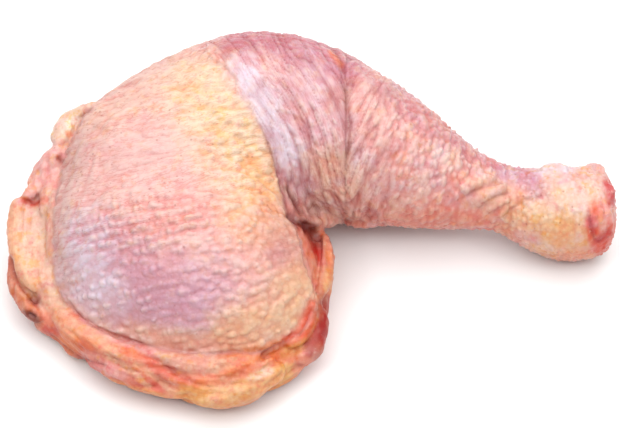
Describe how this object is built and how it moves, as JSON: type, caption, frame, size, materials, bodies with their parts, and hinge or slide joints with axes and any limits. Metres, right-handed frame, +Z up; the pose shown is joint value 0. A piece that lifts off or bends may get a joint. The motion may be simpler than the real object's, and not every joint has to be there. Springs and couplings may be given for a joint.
{
  "type": "chicken leg quarter",
  "caption": "Raw skin-on chicken leg quarter, a bent thigh and drumstick in one piece, lying skin side up with folds of skin, fat and meat round the thigh's cut base.",
  "frame": {"origin": "on the table, under the middle of the bounding box", "axes": "+X along the drumstick towards its cut shank end, +Y towards the bent knee, +Z up through the skin side"},
  "size_m": [0.1952, 0.1292, 0.0534],
  "materials": {
    "skin": "moist raw skin with follicle bumps, pale pink to cream"
  },
  "bodies": {
    "root": {"leg_quarter": "skin"}
  },
  "joints": []
}
